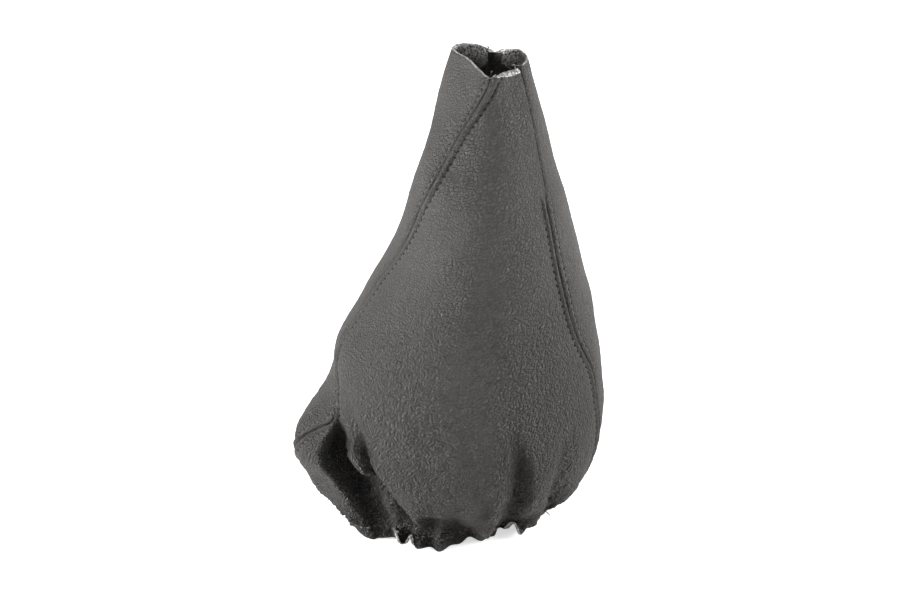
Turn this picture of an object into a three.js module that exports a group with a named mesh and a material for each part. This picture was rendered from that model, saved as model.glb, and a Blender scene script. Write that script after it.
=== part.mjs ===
// Gear lever gaiter: three leather panels, sewn into a tapering bag with a gathered hem.
// Units are millimetres. X runs to the right, Y away from the viewer, Z up. The hem stands on z = 0.
import * as THREE from 'three';

// Driving sizes
const HEIGHT = 246;
const LEATHER = 1.2;
const GAP = 0.3;
const ALLOWANCE = 7;
const STITCH_LINE = 3.5;
const THREAD_RADIUS = 0.3;
const TOPSTITCH_TOP_RIGHT = 180;
const GATHERS = 23;
const GATHER_LINE = 6;
const ELASTIC_LOW = 3;
const ELASTIC_HIGH = 9;
const ELASTIC_THICKNESS = 0.8;

const RAD = Math.PI / 180;

// A smooth curve through a few [input, value] points
function curve(points) {
  const x = points.map((p) => p[0]);
  const y = points.map((p) => p[1]);
  const last = x.length - 1;
  const width = [];
  const slope = [];
  for (let i = 0; i < last; i += 1) {
    width.push(x[i + 1] - x[i]);
    slope.push((y[i + 1] - y[i]) / width[i]);
  }
  const tangent = [slope[0]];
  for (let i = 1; i < last; i += 1) {
    tangent.push((slope[i - 1] * width[i] + slope[i] * width[i - 1]) / (width[i] + width[i - 1]));
  }
  tangent.push(slope[last - 1]);
  return (value) => {
    const v = Math.min(Math.max(value, x[0]), x[last]);
    let i = 0;
    while (i < last - 1 && v > x[i + 1]) i += 1;
    const t = (v - x[i]) / width[i];
    const u = 1 - t;
    return (1 + 2 * t) * u * u * y[i] + t * u * u * width[i] * tangent[i]
      + t * t * (3 - 2 * t) * y[i + 1] - t * t * u * width[i] * tangent[i + 1];
  };
}

// The same round a full turn, in degrees
function turnCurve(points) {
  const n = points.length;
  const before = points.slice(n - 2).map(([a, r]) => [a - 360, r]);
  const after = points.slice(0, 2).map(([a, r]) => [a + 360, r]);
  const f = curve([...before, ...points, ...after]);
  return (angle) => f((((angle - points[0][0]) % 360) + 360) % 360 + points[0][0]);
}

function smooth(a, b, x) {
  const t = Math.min(Math.max((x - a) / (b - a), 0), 1);
  return t * t * (3 - 2 * t);
}

function bell(x) {
  return Math.exp(-x * x);
}

function wrap(angle) {
  return ((((angle + 180) % 360) + 360) % 360) - 180;
}

// Outline by height: how far the bag reaches to each side
const LEFT = curve([[0, -44], [20, -55], [45, -59], [80, -60], [93, -58.5], [118, -46.5], [150, -31],
  [200, -15.5], [HEIGHT, -1.5]]);
const RIGHT = curve([[0, 50], [20, 64], [42, 73.5], [62, 76.5], [85, 75], [134, 66], [183, 53], [HEIGHT, 36]]);
const FRONT = curve([[0, -42], [8, -45], [25, -59], [45, -65], [75, -63], [120, -50], [170, -37],
  [210, -27], [HEIGHT, -20]]);
const BACK = curve([[0, 56], [20, 66], [45, 72], [75, 70], [120, 55], [170, 38], [210, 26], [HEIGHT, 18]]);
const SQUARENESS = curve([[0, 2], [30, 2.25], [90, 2.25], [150, 2.05], [HEIGHT, 2]]);

// Heart-shaped rim: [degrees from the front, radius], the notch at the back
const RIM = turnCurve([[0, 15.2], [25, 15.2], [55, 15.8], [77, 17.5], [104, 18.6], [128, 20], [147, 18.5],
  [164, 8.5], [182, 14.5], [196, 21.5], [211, 26.3], [227, 26.2], [237, 22.6], [260, 12.8], [284, 10.4],
  [301, 10.2], [330, 12.4]]);

// Seams: degrees from the front by height
const SEAM_LEFT = curve([[0, -118], [20, -98], [42, -84], [55, -75], [63, -67], [75, -70], [90, -78],
  [120, -78], [136, -75], [156, -66], [185, -53], [210, -38], [228, -18], [HEIGHT, 4]]);
const SEAM_RIGHT = curve([[0, 92], [40, 72], [66, 67], [86, 66], [111, 57], [140, 51.5], [196, 52.5],
  [HEIGHT, 50]]);
const SEAM_BACK = curve([[0, 195], [100, 180], [HEIGHT, 164]]);

// Folds: where each runs, how wide it is to either side, how deep it is and which way it goes
function fold(centre, left, right, depth, push) {
  return { centre: curve(centre), left: curve(left), right: curve(right), depth: curve(depth), push };
}

const FOLDS = [
  // crease between the front bulge and the front-left lobe
  fold([[0, -38], [20, -47], [40, -57], [60, -65], [85, -70], [100, -74]],
    [[0, 8], [20, 9], [40, 11], [55, 14], [90, 14]], [[0, 6], [40, 7], [55, 10], [90, 10]],
    [[0, 12], [15, 23], [38, 35], [48, 27], [58, 14], [74, 5], [88, 0]], [0.35, 0.94]),
  // front-left lobe
  fold([[0, -62], [20, -70], [41, -78], [60, -84], [95, -92]],
    [[0, 28], [41, 40], [95, 34]], [[0, 18], [41, 21], [95, 20]],
    [[0, 1], [12, 7], [26, 16], [41, 24], [50, 22], [60, 13], [70, 4], [80, 0]], [-0.92, -0.39]),
  // the foot of that lobe
  fold([[0, -57], [40, -64]], [[0, 20], [40, 16]], [[0, 12], [40, 10]],
    [[0, 15], [15, 13], [30, 8], [45, 2], [55, 0]], [0.1, -1]),
  // two valleys of the lower front
  fold([[0, 37], [20, 26], [36, 20], [60, 18], [80, 18]],
    [[0, 10], [40, 6], [80, 5]], [[0, 14], [30, 9], [50, 6], [80, 4]],
    [[0, 17], [15, 16], [30, 11], [50, 5], [80, 0]], [-0.3, 0.95]),
  fold([[0, 66], [20, 49], [35, 41], [55, 41], [70, 43]], [[0, 7], [70, 5]], [[0, 7], [70, 5]],
    [[0, 3], [15, 7], [35, 5], [55, 2], [70, 0]], [-0.7, 0.7]),
  // small valley under the front bulge
  fold([[0, 3], [30, 3]], [[0, 6], [30, 6]], [[0, 7], [30, 7]],
    [[0, 5], [12, 6], [22, 2], [30, 0]], [0, 1]),
  // the front bulge sags over the gathers
  fold([[0, -11], [30, -11]], [[0, 12], [30, 12]], [[0, 14], [30, 14]],
    [[0, -2], [6, 1], [14, 7], [19, 8], [27, 0]], [0, 1]),
];
const RIM_TIP = curve([[205, 0], [232, 1.2], [HEIGHT, 3]]);
const GATHER_DEPTH = curve([[0, 2.2], [6, 1.4], [14, 1.9], [26, 0.9], [42, 0]]);
// Raw edge lifted off the floor: [degrees, half width, height]
const LIFTS = [[-37, 10, 3.5], [44, 11, 5], [150, 13, 3], [222, 12, 3]];

const SEAMS = [SEAM_LEFT, SEAM_RIGHT, SEAM_BACK];

// Outer surface of the leather at an azimuth (degrees) and height
function surface(angle, z) {
  const left = LEFT(z);
  const right = RIGHT(z);
  const front = FRONT(z);
  const back = BACK(z);
  const top = smooth(170, HEIGHT, z);
  const a = (right - left) / 2;
  const b = (back - front) / 2;
  const n = SQUARENESS(z);
  const s = Math.sin(angle * RAD);
  const c = Math.cos(angle * RAD);
  let r = (Math.abs(s / a) ** n + Math.abs(c / b) ** n) ** (-1 / n);
  r += top * (RIM(angle) * 0.97 * (a / 18.75) - r);
  r += RIM_TIP(z) * bell(wrap(angle - SEAM_LEFT(z)) / 24);
  let free = 1;
  for (const seam of SEAMS) free -= bell(wrap(angle - seam(z)) / 15);
  r += GATHER_DEPTH(z) * free * Math.sin(GATHERS * (angle + 9 * Math.sin(2 * angle * RAD)) * RAD);
  let x = (left + right) / 2 + top * 1.2 + r * s;
  let y = (front + back) / 2 - top - r * c;
  for (const f of FOLDS) {
    const q = wrap(angle - f.centre(z));
    const k = f.depth(z) * bell(q / (q < 0 ? f.left(z) : f.right(z)));
    x += k * f.push[0];
    y += k * f.push[1];
  }
  let lift = 0;
  for (const [at, wide, high] of LIFTS) {
    const q = Math.min(Math.abs(wrap(angle - at) / wide), 1);
    lift += high * (1 - q * q) ** 2;
  }
  return new THREE.Vector3(x, y, z + lift * (1 - smooth(0, 14, z)));
}

function alongRow(angle, z) {
  return surface(angle + 0.4, z).sub(surface(angle - 0.4, z)).divideScalar(0.8);
}

// A point at a depth under the outer surface; the cut edges stay square to the floor
function under(angle, z, depth) {
  const low = Math.max(z - 0.4, 0);
  const high = Math.min(z + 0.4, HEIGHT);
  const up = surface(angle, high).sub(surface(angle, low));
  const normal = alongRow(angle, z).cross(up).normalize();
  if (z === 0 || z === HEIGHT) {
    normal.z = 0;
    normal.divideScalar(Math.max(normal.lengthSq(), 0.3));
  }
  return surface(angle, z).addScaledVector(normal, -depth);
}

// Azimuth at a distance from a seam, measured square to the seam
function beside(seam, z, distance) {
  const low = Math.max(z - 2, 0);
  const high = Math.min(z + 2, HEIGHT);
  const path = surface(seam(high), high).sub(surface(seam(low), low)).normalize();
  const row = alongRow(seam(z), z);
  const speed = row.length();
  const sine = Math.max(row.clone().divideScalar(speed).cross(path).length(), 0.4);
  return seam(z) + distance / sine / speed;
}

// Closed body from rows of stations, each with an outer and an inner point
function sheet(rows) {
  const positions = [];
  const index = [];
  const ids = rows.map((row) => row.map((station) => station.points.map((p) => {
    positions.push(p.x, p.y, p.z);
    return positions.length / 3 - 1;
  })));
  const add = (a, b, c, flip) => (flip ? index.push(a, c, b) : index.push(a, b, c));
  for (let k = 0; k + 1 < rows.length; k += 1) {
    for (const side of [0, 1]) {
      let i = 0;
      let j = 0;
      const lower = rows[k];
      const upper = rows[k + 1];
      while (i + 1 < lower.length || j + 1 < upper.length) {
        const nextLow = i + 1 < lower.length ? lower[i + 1].key : Infinity;
        const nextHigh = j + 1 < upper.length ? upper[j + 1].key : Infinity;
        if (nextLow <= nextHigh) {
          add(ids[k][i][side], ids[k][i + 1][side], ids[k + 1][j][side], side === 1);
          i += 1;
        } else {
          add(ids[k][i][side], ids[k + 1][j + 1][side], ids[k + 1][j][side], side === 1);
          j += 1;
        }
      }
    }
    const a = ids[k];
    const b = ids[k + 1];
    const e = a.length - 1;
    const g = b.length - 1;
    add(a[0][1], a[0][0], b[0][0]);
    add(a[0][1], b[0][0], b[0][1]);
    add(a[e][0], a[e][1], b[g][1]);
    add(a[e][0], b[g][1], b[g][0]);
  }
  const cap = (row, flip) => {
    for (let i = 0; i + 1 < row.length; i += 1) {
      add(row[i][0], row[i][1], row[i + 1][1], flip);
      add(row[i][0], row[i + 1][1], row[i + 1][0], flip);
    }
  };
  cap(ids[0], false);
  cap(ids[rows.length - 1], true);
  const geometry = new THREE.BufferGeometry();
  geometry.setAttribute('position', new THREE.Float32BufferAttribute(positions, 3));
  geometry.setIndex(index);
  geometry.computeVertexNormals();
  return geometry;
}

// Heights of the rows: [up to, step]
const ROW_STEPS = [[9, 3], [14, 5], [38, 6], [62, 4], [78, 8], [102, 12], [HEIGHT - 16, 16]];
function rowHeights() {
  const heights = [0];
  for (const [until, step] of ROW_STEPS) {
    const from = heights[heights.length - 1];
    const count = Math.max(1, Math.round((until - from) / step));
    for (let i = 1; i <= count; i += 1) heights.push(from + (i * (until - from)) / count);
  }
  heights.push(HEIGHT);
  return heights;
}
const HEIGHTS = rowHeights();

// Turned-in edge of a panel: [distance from the seam, outer depth, inner depth] from the cut end outward
const BEND = LEATHER + GAP / 2;
const MIDDLE = GAP / 2 + BEND;
function turnedEdge() {
  const deep = 2 * LEATHER + GAP;
  const stations = [[ALLOWANCE, deep, LEATHER + GAP], [STITCH_LINE, deep, LEATHER + GAP],
    [MIDDLE, deep, LEATHER + GAP]].map(([d, o, i]) => ({ outer: [d, o], inner: [d, i] }));
  for (const angle of [120, 60]) {
    const s = Math.sin(angle * RAD);
    const c = Math.cos(angle * RAD);
    stations.push({
      outer: [MIDDLE - BEND * s, BEND - BEND * c],
      inner: [MIDDLE - (GAP / 2) * s, BEND - (GAP / 2) * c],
    });
  }
  for (const d of [MIDDLE, STITCH_LINE, ALLOWANCE]) stations.push({ outer: [d, 0], inner: [d, LEATHER] });
  return stations;
}
const EDGE = turnedEdge();
// Depth at which a thread fits between the two turned edges, on their inner side
const SEAM_VALLEY = 2.3 * LEATHER;

const PANELS = [
  { name: 'front_panel', from: SEAM_LEFT, to: SEAM_RIGHT, turns: 0, columns: 44, colour: 0x47433f },
  { name: 'right_panel', from: SEAM_RIGHT, to: SEAM_BACK, turns: 0, columns: 32, colour: 0x4b4743 },
  { name: 'left_panel', from: SEAM_BACK, to: SEAM_LEFT, turns: 360, columns: 28, colour: 0x45413d },
];

// Azimuths of a panel's free columns at a height, evenly spaced along the leather
function freeColumns({ from, to, turns, columns }, z) {
  const count = z > 105 ? columns / 4 : z > 26 ? columns / 2 : columns;
  const start = beside(from, z, ALLOWANCE);
  const stop = beside(to, z, -ALLOWANCE) + turns;
  const steps = 150;
  const lengths = [0];
  let last = surface(start, z);
  for (let i = 1; i <= steps; i += 1) {
    const next = surface(start + ((stop - start) * i) / steps, z);
    lengths.push(lengths[i - 1] + next.distanceTo(last));
    last = next;
  }
  const angles = [];
  let i = 0;
  for (let k = 1; k < count; k += 1) {
    const wanted = (lengths[steps] * k) / count;
    while (lengths[i + 1] < wanted) i += 1;
    const part = (wanted - lengths[i]) / (lengths[i + 1] - lengths[i]);
    angles.push(start + ((stop - start) * (i + part)) / steps);
  }
  return angles;
}

function panel(piece) {
  const rows = HEIGHTS.map((z) => {
    const left = EDGE.map((e, i) => ({
      key: i - EDGE.length,
      points: [e.outer, e.inner].map(([d, n]) => under(beside(piece.from, z, d), z, n)),
    }));
    const free = freeColumns(piece, z).map((angle, i, all) => ({
      key: (i + 1) / (all.length + 1),
      points: [under(angle, z, 0), under(angle, z, LEATHER)],
    }));
    const right = EDGE.map((e, i) => ({
      key: 1 + EDGE.length - i,
      points: [e.outer, e.inner].map(([d, n]) => under(beside(piece.to, z, -d), z, n)),
    }));
    return [...left, ...free, ...right.reverse()];
  });
  return sheet(rows);
}

// Azimuths of the stations round the hem
function roundHem(z) {
  const stations = [];
  for (const piece of PANELS) {
    for (const d of [MIDDLE, STITCH_LINE, ALLOWANCE]) stations.push(beside(piece.from, z, d));
    stations.push(...freeColumns(piece, z));
    for (const d of [ALLOWANCE, STITCH_LINE, MIDDLE]) stations.push(beside(piece.to, z, -d));
  }
  return stations;
}

// Tube through points, with a frame that turns as little as possible
function tube(path, radius, closed) {
  const sides = 4;
  const count = path.length;
  const positions = [];
  const index = [];
  let frame = null;
  path.forEach((p, i) => {
    const before = path[closed ? (i + count - 1) % count : Math.max(i - 1, 0)];
    const after = path[closed ? (i + 1) % count : Math.min(i + 1, count - 1)];
    const along = after.point.clone().sub(before.point).normalize();
    const side = along.clone().cross(p.out).normalize();
    frame = side.clone().cross(along).normalize();
    for (let k = 0; k < sides; k += 1) {
      const a = ((k + 0.5) / sides) * 2 * Math.PI;
      const q = p.point.clone().addScaledVector(side, radius * Math.cos(a)).addScaledVector(frame, radius * Math.sin(a));
      positions.push(q.x, q.y, q.z);
    }
  });
  const rings = closed ? count : count - 1;
  for (let i = 0; i < rings; i += 1) {
    const next = (i + 1) % count;
    for (let k = 0; k < sides; k += 1) {
      const m = (k + 1) % sides;
      index.push(i * sides + k, next * sides + m, i * sides + m);
      index.push(i * sides + k, next * sides + k, next * sides + m);
    }
  }
  if (!closed) {
    for (let k = 1; k + 1 < sides; k += 1) {
      index.push(0, k, k + 1);
      const base = (count - 1) * sides;
      index.push(base, base + k + 1, base + k);
    }
  }
  const geometry = new THREE.BufferGeometry();
  geometry.setAttribute('position', new THREE.Float32BufferAttribute(positions, 3));
  geometry.setIndex(index);
  geometry.computeVertexNormals();
  return geometry;
}

function outward(angle, z) {
  return under(angle, z, -1).sub(under(angle, z, 0)).normalize();
}

// Thread lying on the leather beside a seam, or in the valley inside it
function seamThread(seam, distance, depth, topEnd) {
  const margin = 1.5;
  const start = GATHER_LINE + margin;
  const inside = HEIGHTS.filter((z) => z > start && z < topEnd - margin - 1);
  const path = [...inside, topEnd - margin].map((z) => {
    const angle = beside(seam, z, distance);
    return { point: under(angle, z, depth), out: outward(angle, z) };
  });
  return tube(path, THREAD_RADIUS, false);
}

function hemThread() {
  const path = roundHem(GATHER_LINE).map((angle) => ({
    point: under(angle, GATHER_LINE, -THREAD_RADIUS - 2 * GAP),
    out: outward(angle, GATHER_LINE),
  }));
  return tube(path, THREAD_RADIUS, true);
}

// Flat band inside the hem, as wide as the deepest gathers let it be
const ELASTIC_CENTRE = [3, 7];
const ELASTIC_STATIONS = 60;
function hemElastic() {
  const inner = [];
  for (let z = 0; z <= ELASTIC_HIGH; z += 1) {
    for (let angle = 0; angle < 360; angle += 1) {
      const doubled = SEAMS.some((seam) => Math.abs(wrap(angle - seam(z))) < 16);
      const p = under(angle, z, doubled ? 2 * LEATHER + 2 * GAP : LEATHER + GAP);
      const dx = p.x - ELASTIC_CENTRE[0];
      const dy = p.y - ELASTIC_CENTRE[1];
      inner.push([Math.atan2(dx, -dy) / RAD, Math.hypot(dx, dy)]);
    }
  }
  const positions = [];
  const index = [];
  for (let i = 0; i < ELASTIC_STATIONS; i += 1) {
    const angle = (i * 360) / ELASTIC_STATIONS;
    const near = inner.filter(([a]) => Math.abs(wrap(a - angle)) < 1.5 * (360 / ELASTIC_STATIONS));
    const outer = Math.min(...near.map(([, r]) => r)) - GAP;
    const ring = [[outer, ELASTIC_LOW], [outer, ELASTIC_HIGH],
      [outer - ELASTIC_THICKNESS, ELASTIC_HIGH], [outer - ELASTIC_THICKNESS, ELASTIC_LOW]];
    for (const [r, z] of ring) {
      positions.push(ELASTIC_CENTRE[0] + r * Math.sin(angle * RAD), ELASTIC_CENTRE[1] - r * Math.cos(angle * RAD), z);
    }
    const here = 4 * i;
    const next = 4 * ((i + 1) % ELASTIC_STATIONS);
    for (let k = 0; k < 4; k += 1) {
      const m = (k + 1) % 4;
      index.push(here + k, next + k, next + m);
      index.push(here + k, next + m, here + m);
    }
  }
  const geometry = new THREE.BufferGeometry();
  geometry.setAttribute('position', new THREE.Float32BufferAttribute(positions, 3));
  geometry.setIndex(index);
  geometry.computeVertexNormals();
  return geometry;
}

const group = new THREE.Group();
function add(name, geometry, colour) {
  const mesh = new THREE.Mesh(geometry, new THREE.MeshStandardMaterial({ color: colour, roughness: 0.6 }));
  mesh.name = name;
  group.add(mesh);
}

for (const piece of PANELS) add(piece.name, panel(piece), piece.colour);
const SEWN = [
  { side: 'left', seam: SEAM_LEFT, ahead: 'front', behind: 'rear', top: HEIGHT },
  { side: 'right', seam: SEAM_RIGHT, ahead: 'rear', behind: 'front', top: TOPSTITCH_TOP_RIGHT },
  { side: 'back', seam: SEAM_BACK, ahead: 'left', behind: 'right', top: HEIGHT },
];
for (const { side, seam, ahead, behind, top } of SEWN) {
  const above = -THREAD_RADIUS - GAP;
  add(`${side}_topstitch_${ahead}`, seamThread(seam, STITCH_LINE, above, top), 0x2c2a28);
  add(`${side}_topstitch_${behind}`, seamThread(seam, -STITCH_LINE, above, top), 0x2c2a28);
  add(`${side}_seam_thread`, seamThread(seam, 0, SEAM_VALLEY, HEIGHT), 0x2c2a28);
}
add('hem_thread', hemThread(), 0x2c2a28);
add('hem_elastic', hemElastic(), 0x1d1c1b);

// The origin is the middle of the footprint, on the floor
const middle = new THREE.Box3().setFromObject(group).getCenter(new THREE.Vector3());
for (const mesh of group.children) mesh.geometry.translate(-middle.x, -middle.y, 0);

export default group;
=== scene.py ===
import math
import bpy
import numpy as np
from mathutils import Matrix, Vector


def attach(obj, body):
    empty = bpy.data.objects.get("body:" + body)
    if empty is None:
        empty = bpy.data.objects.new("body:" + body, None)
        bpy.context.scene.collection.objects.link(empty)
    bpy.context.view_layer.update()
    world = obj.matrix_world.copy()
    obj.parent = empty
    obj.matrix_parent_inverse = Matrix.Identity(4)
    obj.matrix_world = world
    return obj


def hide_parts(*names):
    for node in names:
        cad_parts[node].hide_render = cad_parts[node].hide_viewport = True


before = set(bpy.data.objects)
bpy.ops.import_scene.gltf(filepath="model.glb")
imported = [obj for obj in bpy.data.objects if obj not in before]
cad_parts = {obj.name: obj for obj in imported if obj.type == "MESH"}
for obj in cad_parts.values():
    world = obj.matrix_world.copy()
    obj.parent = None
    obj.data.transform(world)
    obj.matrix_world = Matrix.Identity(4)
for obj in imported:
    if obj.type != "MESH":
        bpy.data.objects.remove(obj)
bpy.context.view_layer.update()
RAD = math.pi / 180
MM = 0.001

# sizes in mm, as in the part's source, but with a narrower gap between sewn panels
HEIGHT = 246.0
LEATHER = 1.2
GAP = 0.05
ALLOWANCE = 7.0
STITCH_LINE = 3.5
TOPSTITCH_TOP_RIGHT = 180.0
GATHERS = 23
GATHER_LINE = 6.0
ELASTIC_LOW = 3
ELASTIC_HIGH = 9
ELASTIC_THICKNESS = 0.8
MIDDLE_OF_FOOTPRINT = np.array([-2.2495, 3.7663, 0.0])
# stitches: from one to the next, how long each is, and the thread's radius
PITCH = 3.6
STITCH = 2.7
THREAD_RADIUS = 0.36
# heights at which forms of the neck and the hem start or end
NECK_FROM = 170
DIP_FROM = 205
TORN_HIGH = 8
LIFT_HIGH = 9
CURL_HIGH = 7
FLARE_HIGH = 2.4
FLARE_RISE = 3
# half width of the neck for which the rim's outline is drawn
NECK_HALF_WIDTH = 18.75
# azimuth of the front-left lobe, which hardly gathers
LOBE = -82


def curve(points):
    """A smooth curve through [place, value] points that doesn't overshoot, held level beyond its ends."""
    p = np.array(points, float)
    x, y = p[:, 0], p[:, 1]
    w = np.diff(x)
    s = np.diff(y) / w
    inner = (s[:-1] * w[1:] + s[1:] * w[:-1]) / (w[1:] + w[:-1])
    m = np.concatenate([[s[0]], inner, [s[-1]]])

    def f(v):
        v = np.clip(np.asarray(v, float), x[0], x[-1])
        i = np.clip(np.searchsorted(x, v, side="right") - 1, 0, len(w) - 1)
        t = (v - x[i]) / w[i]
        u = 1 - t
        return ((1 + 2 * t) * u * u * y[i] + t * u * u * w[i] * m[i]
                + t * t * (3 - 2 * t) * y[i + 1] - t * t * u * w[i] * m[i + 1])
    return f


def turn_curve(points):
    """A smooth curve over the azimuth that closes after a full turn."""
    before = [[a - 360, r] for a, r in points[-2:]]
    after = [[a + 360, r] for a, r in points[:2]]
    f = curve(before + list(points) + after)
    return lambda a: f((np.asarray(a, float) - points[0][0]) % 360 + points[0][0])


def smooth(a, b, x):
    """0 at a, 1 at b, with soft ends."""
    t = np.clip((x - a) / (b - a), 0, 1)
    return t * t * (3 - 2 * t)


def bell(x):
    return np.exp(-x * x)


def wrap(a):
    """The same azimuth between -180 and 180 degrees."""
    return (a + 180) % 360 - 180


# outline over the height, seen from the front and from the side
LEFT = curve([[0, -44], [20, -55], [45, -59], [80, -60], [93, -58], [118, -45.2], [150, -28.8],
              [200, -15.3], [HEIGHT, -1.5]])
RIGHT = curve([[0, 47], [20, 64], [42, 73.5], [62, 76.5], [85, 75], [134, 66], [183, 53], [HEIGHT, 36]])
FRONT = curve([[0, -42], [8, -45], [25, -59], [45, -65], [75, -63], [120, -50], [170, -37],
               [210, -27], [HEIGHT, -20]])
BACK = curve([[0, 56], [20, 66], [45, 72], [75, 70], [120, 55], [170, 38], [210, 26], [HEIGHT, 18]])
SQUARENESS = curve([[0, 2], [30, 2.25], [90, 2.25], [150, 2.05], [HEIGHT, 2]])
# the rim's radius by azimuth, with a notch at the back
RIM = turn_curve([[0, 17], [12, 17.5], [44, 18], [63, 18.6], [88, 18.6], [113, 18.4], [135, 17.5],
                  [150, 12], [160, 7.5], [170, 8.5], [182, 12.5], [197, 19.5], [211, 24.5], [225, 25],
                  [237, 22.6], [248, 18.5], [262, 14], [284, 11.4], [301, 11], [330, 13], [345, 15]])
# the rim is cut a little lower at the front
RIM_DIP = turn_curve([[0, 4.2], [10, 2.8], [44, 1.6], [80, 0.6], [120, 0], [240, 0], [300, 0.8],
                      [340, 2.6]])
# azimuths of the three seams over the height
SEAM_LEFT = curve([[0, -118], [20, -98], [42, -84], [55, -75], [63, -67], [75, -70], [90, -78],
                   [120, -78], [136, -75], [156, -66], [185, -53], [210, -38], [228, -16.5],
                   [HEIGHT, 5]])
SEAM_RIGHT = curve([[0, 92], [40, 72], [66, 67], [86, 66], [111, 57], [140, 51.5], [196, 52.5],
                    [HEIGHT, 50]])
SEAM_BACK = curve([[0, 195], [100, 180], [HEIGHT, 164]])
SEAMS = [SEAM_LEFT, SEAM_RIGHT, SEAM_BACK]


def fold(centre, left, right, depth, push, flat=(2, 2)):
    """A fold: its middle azimuth, half widths and depth over the height; and the way it pushes."""
    return dict(centre=curve(centre), left=curve(left), right=curve(right), depth=curve(depth),
                push=push, flat=flat)


HOLLOW = fold([[0, -44], [10, -48], [20, -52], [28, -55], [38, -59], [46, -60], [54, -60], [62, -61],
               [80, -66]],
              [[0, 7], [40, 6], [50, 5], [65, 3.5], [80, 5]],
              [[0, 20], [10, 22], [20, 22], [28, 22], [37, 20], [45, 6], [55, 5], [70, 5]],
              [[0, -4], [5, -2], [10, 3], [15, 8], [20, 13], [28, 21], [38, 27], [46, 26], [53, 18],
               [60, 8], [67, 2], [74, 0]],
              [0, 1], (2.6, 4))
# narrow gap between the tongue and the front bulge
TONGUE_GAP = fold([[0, -16], [15, -24], [28, -32], [40, -39], [50, -46], [60, -48], [70, -51], [80, -56],
                   [90, -62]],
                  [[0, 3], [90, 3.5]], [[0, 2.5], [90, 3]],
                  [[0, 0], [15, 4], [30, 9], [42, 12], [52, 9], [62, 4], [72, 1], [80, 0]],
                  [0.5, 0.87])
FRONT_LEFT_LOBE = fold([[0, -70], [12, -80], [25, -88], [41, -86], [60, -88], [95, -94]],
                       [[0, 28], [41, 36], [95, 34]], [[0, 11], [25, 17], [41, 20], [95, 20]],
                       [[0, 7], [6, 11], [12, 15], [25, 19], [41, 22.5], [50, 21], [58, 14], [65, 7.5],
                        [72, 3], [80, 0]],
                       [-0.92, -0.39])
# front ridge of that lobe, down to its foot
LOBE_RIDGE = fold([[0, -59], [10, -61], [20, -62], [28, -63], [38, -65], [55, -69]],
                  [[0, 9], [15, 12], [40, 13]], [[0, 8], [20, 6], [55, 6]],
                  [[0, 15], [10, 11], [20, 7], [38, 5], [50, 2], [58, 0]], [-0.1, -1])
# two valleys of the lower front
VALLEY = fold([[0, 33], [12, 29], [20, 25.5], [39, 22.5], [60, 20], [82, 18.5]],
              [[0, 11], [12, 8.5], [40, 5.5], [80, 4]], [[0, 7], [30, 4.6], [50, 4.2], [80, 3.4]],
              [[0, 13], [8, 10], [15, 8], [30, 6], [45, 4.5], [60, 2.5], [82, 0]], [-0.3, 0.95])
OUTER_VALLEY = fold([[0, 60], [20, 47.5], [35, 42.5], [55, 42], [70, 43.5]],
                    [[0, 4.8], [70, 3.6]], [[0, 7], [70, 5]],
                    [[0, 2.5], [15, 7], [35, 5], [55, 2.5], [72, 0]], [-0.7, 0.7])
# sharp crease in the middle of the first valley
VALLEY_CREASE = fold([[0, 31], [20, 26.5], [39, 24], [66, 21]], [[0, 2.4], [66, 2.2]],
                     [[0, 2.2], [66, 1.8]],
                     [[0, 1], [12, 3], [30, 4], [48, 3], [66, 0]], [-0.3, 0.95])
# the hem draws back under the right half of the bulge
UNDER_BULGE_RIGHT = fold([[0, 12], [25, 12]], [[0, 9], [25, 9]], [[0, 8], [25, 8]],
                         [[0, 9], [8, 6], [15, 0]], [0, 1])
# the right end of the bulge hangs lower
BULGE_END = fold([[0, 13], [10, 12], [30, 11]], [[0, 5], [10, 5], [30, 8]], [[0, 4], [30, 6]],
                 [[0, 1], [5, 7], [10, 10], [18, 5], [28, 0]], [0.1, -1])
# small valley under the front bulge
UNDER_BULGE = fold([[0, 3], [30, 3]], [[0, 6], [30, 6]], [[0, 7], [30, 7]],
                   [[0, 5], [12, 6], [22, 2], [30, 0]], [0, 1])
# the front bulge sags over the gathers
SAG = fold([[0, -11], [30, -11]], [[0, 12], [30, 12]], [[0, 14], [30, 14]],
           [[0, -2], [6, 1], [14, 7], [19, 8], [27, 0]], [0, 1])
FOLDS = [HOLLOW, TONGUE_GAP, FRONT_LEFT_LOBE, LOBE_RIDGE, VALLEY, OUTER_VALLEY, VALLEY_CREASE,
         UNDER_BULGE_RIGHT, BULGE_END, UNDER_BULGE, SAG]
# the folds that squeeze the leather, and the depth at which each squeezes it fully
SQUEEZED = [(HOLLOW, 9), (TONGUE_GAP, 9), (LOBE_RIDGE, 34), (VALLEY, 5.5), (OUTER_VALLEY, 6),
            (UNDER_BULGE_RIGHT, 9)]
# the rim's tip at the left seam
RIM_TIP = curve([[205, 0], [232, 1.2], [HEIGHT, 3]])
# how far the outer side of the front panel's slanted top edge lies below its inner side, by azimuth
SKIVE = curve([[-90, 0], [-14, 0], [-6, 1.8], [6, 2.6], [24, 2.4], [40, 1.6], [60, 0.6], [90, 0]])
GATHER_DEPTH = curve([[0, 2.2], [6, 1.4], [14, 1.9], [26, 0.9], [42, 0]])
# where the hem stands off the floor: [azimuth, half width, how high]
LIFTS = [[-36.5, 4.2, 6.5], [-28.5, 3.6, 5], [39.5, 3.6, 7], [150, 13, 3], [222, 12, 3]]
# where the raw edge of the hem turns out: [azimuth, half width, how far]
CURLS = [[-20, 6, 2], [60, 4, 2], [-100, 8, 2], [120, 7, 2.5], [168, 6, 2], [250, 7, 2]]
# where it flares towards the front, so that the cut shows: [azimuth, half width, how far]
FLARES = [[-33, 13, 4.5], [39.5, 7, 6]]


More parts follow.
